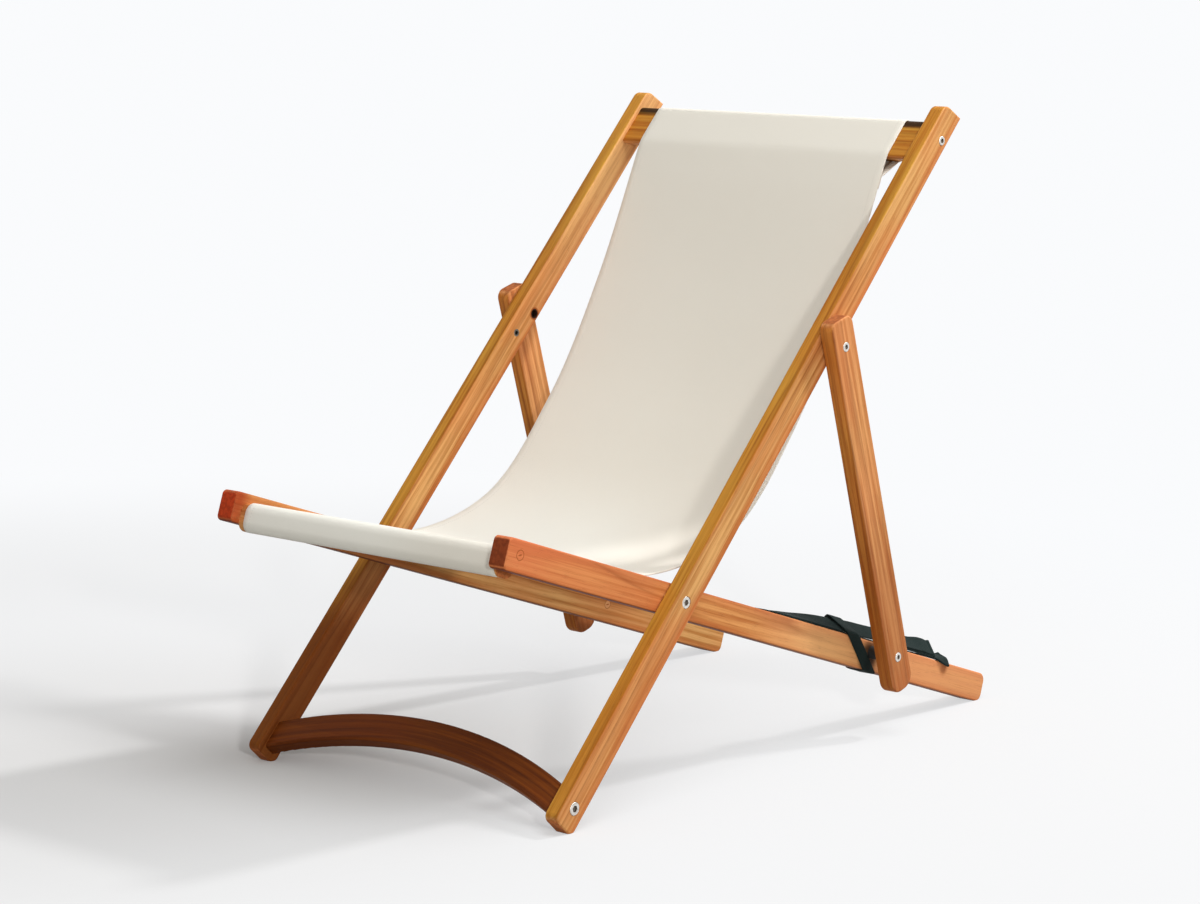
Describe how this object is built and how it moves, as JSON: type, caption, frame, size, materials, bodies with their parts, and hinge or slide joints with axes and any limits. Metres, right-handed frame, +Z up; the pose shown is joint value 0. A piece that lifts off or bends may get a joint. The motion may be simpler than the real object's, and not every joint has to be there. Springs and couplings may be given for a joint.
{
  "type": "reclining sling deck chair",
  "caption": "Folding garden deck chair with crossed timber rails, side props, an arched foot rail and a plain canvas sling seat.",
  "frame": {"origin": "on the floor, at the middle of the chair's length and width", "axes": "+Z up, -Y is the front where the sitter's legs go, +Y the rear, +X the sitter's left (the right-hand side seen from the front)"},
  "size_m": [0.6112, 1.0324, 0.8727],
  "materials": {
    "back_frame_wood": "oiled",
    "foot_rail_wood": "oiled",
    "seat_frame_wood": "oiled",
    "prop_wood": "oiled",
    "plug_wood": "oiled",
    "sling_canvas": "plain woven canvas",
    "strap_cloth": "plain woven cloth",
    "dark_spacer": "matte",
    "steel": "zinc plated"
  },
  "bodies": {
    "back_frame": {"back_rail_left": "back_frame_wood", "back_rail_right": "back_frame_wood", "top_rail": "back_frame_wood", "arched_foot_rail": "foot_rail_wood", "top_rail_bolts": "steel", "foot_rail_bolts": "steel", "top_rail_dowels": "plug_wood", "foot_rail_dowels": "plug_wood", "prop_inserts": "steel", "pivot_bolts": "steel", "pivot_washers": "steel", "pivot_end_washers": "steel", "pivot_nuts": "steel"},
    "seat_frame": {"seat_rail_left": "seat_frame_wood", "seat_rail_right": "seat_frame_wood", "front_rail": "seat_frame_wood", "pivot_plugs": "plug_wood", "prop_foot_plugs": "plug_wood", "front_rail_screws": "steel", "front_rail_plugs": "plug_wood", "sling": "sling_canvas", "carry_strap": "strap_cloth", "strap_loop": "strap_cloth", "prop_foot_spacers": "dark_spacer", "prop_foot_bolts": "steel", "prop_foot_washers": "steel", "prop_foot_nuts": "steel"},
    "prop_left_body": {"prop_left": "prop_wood", "prop_top_bolt_left": "steel", "prop_top_washer_left": "steel"},
    "prop_right_body": {"prop_right": "prop_wood", "prop_top_bolt_right": "steel", "prop_top_washer_right": "steel"}
  },
  "joints": [
    {"name": "frame_fold", "type": "hinge", "parent": "back_frame", "child": "seat_frame", "pos_m": [0, -0.19645, 0.25941], "axis": [1, 0, 0], "range_deg": [0, 57], "deforming": ["sling"]},
    {"name": "prop_left_swing", "type": "hinge", "parent": "seat_frame", "child": "prop_left_body", "pos_m": [-0.294, 0.23758, 0.11622], "axis": [1, 0, 0], "range_deg": [0, 56]},
    {"name": "prop_right_swing", "type": "hinge", "parent": "seat_frame", "child": "prop_right_body", "pos_m": [0.294, 0.23758, 0.11622], "axis": [1, 0, 0], "range_deg": [0, 56]}
  ],
  "couplings": [
    {"joint": "prop_left_swing", "follows": "frame_fold", "ratio": 0.98},
    {"joint": "prop_right_swing", "follows": "frame_fold", "ratio": 0.98}
  ]
}
